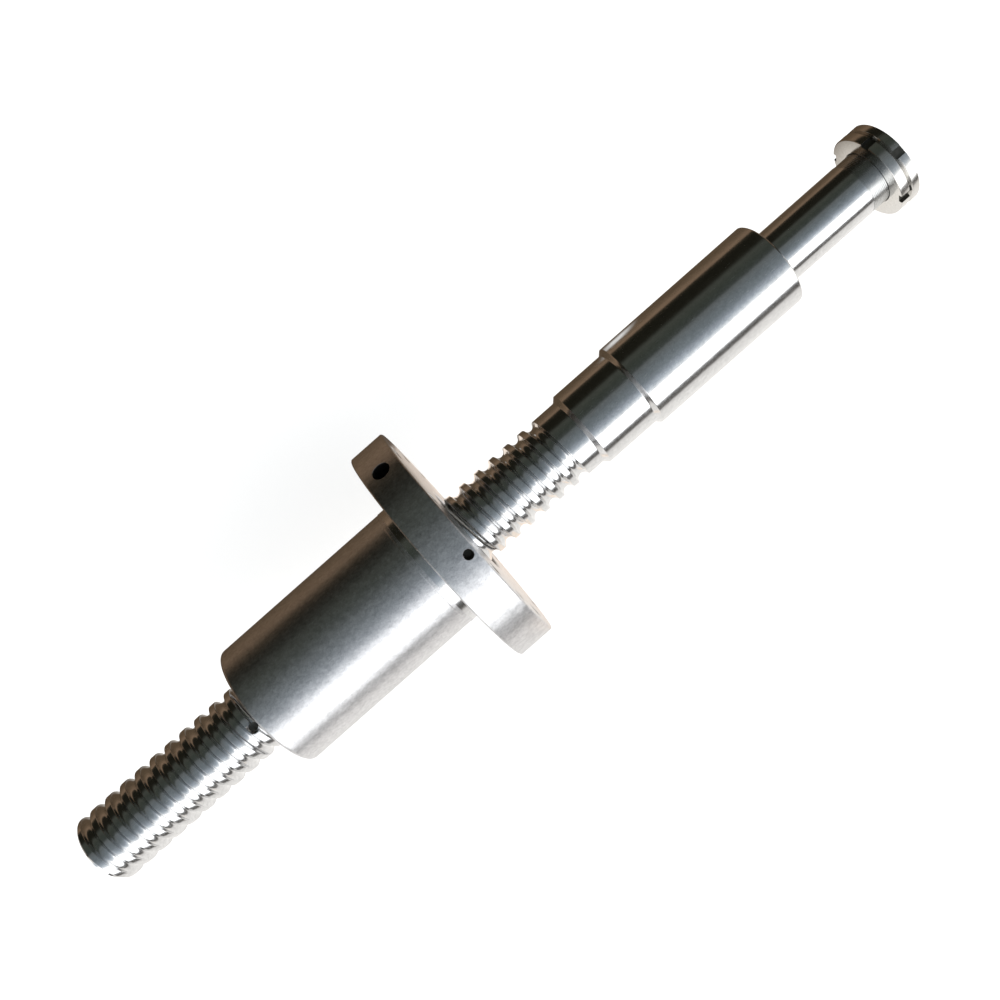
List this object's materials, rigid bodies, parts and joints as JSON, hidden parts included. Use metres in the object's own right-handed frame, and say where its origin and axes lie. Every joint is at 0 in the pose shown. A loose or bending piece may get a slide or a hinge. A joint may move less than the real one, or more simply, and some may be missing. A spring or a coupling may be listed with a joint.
{
  "type": "ball screw",
  "caption": "Ground ball screw: stepped shaft with a right-hand thread, flanged ball nut with return tubes under it, and slotted locknuts.",
  "frame": {"origin": "on the screw's axis at half the screw's length, which is also the centre of the bounding box", "axes": "+X along the screw towards the locknuts; the nut's return tubes lie at -Z; +Z is the side that the picture shows"},
  "size_m": [0.8558, 0.211, 0.211],
  "materials": {
    "ground_steel": "precision ground and polished steel",
    "locknut_steel": "turned and ground steel",
    "nut_steel": "satin ground steel",
    "ball_steel": "polished bearing steel",
    "tube_steel": "drawn steel tube",
    "clamp_steel": "pressed steel strip",
    "screw_steel": "black oxide",
    "wiper_plastic": "moulded acetal",
    "spring_steel": "phosphated spring steel",
    "spacer_steel": "ground flat steel ring"
  },
  "bodies": {
    "screw": {"screw_shaft": "ground_steel", "locknut_inner": "locknut_steel", "locknut_outer": "locknut_steel"},
    "spacers": {"wiper_spacer_left": "spacer_steel", "wiper_spacer_right": "spacer_steel"},
    "nut": {"ball_nut": "nut_steel", "ball_circuit_1": "ball_steel", "ball_circuit_2": "ball_steel", "return_tube_1": "tube_steel", "return_tube_2": "tube_steel", "tube_clamp_1": "clamp_steel", "tube_clamp_2": "clamp_steel", "clamp_screw_1": "screw_steel", "clamp_screw_2": "screw_steel", "clamp_screw_3": "screw_steel", "clamp_screw_4": "screw_steel", "wiper_left": "wiper_plastic", "wiper_right": "wiper_plastic", "snap_ring_left": "spring_steel", "snap_ring_right": "spring_steel"}
  },
  "joints": [
    {"name": "nut_travel", "type": "slide", "parent": "screw", "child": "spacers", "axis": [1, 0, 0], "range_m": [-0.1717, 0.0926]},
    {"name": "nut_spin", "type": "hinge", "parent": "spacers", "child": "nut", "pos_m": [-0.06485, 0, 0], "axis": [1, 0, 0], "range_deg": [-3860, 2080]}
  ],
  "couplings": [
    {"joint": "nut_travel", "follows": "nut_spin", "m_per_rad": 0.0025465}
  ]
}
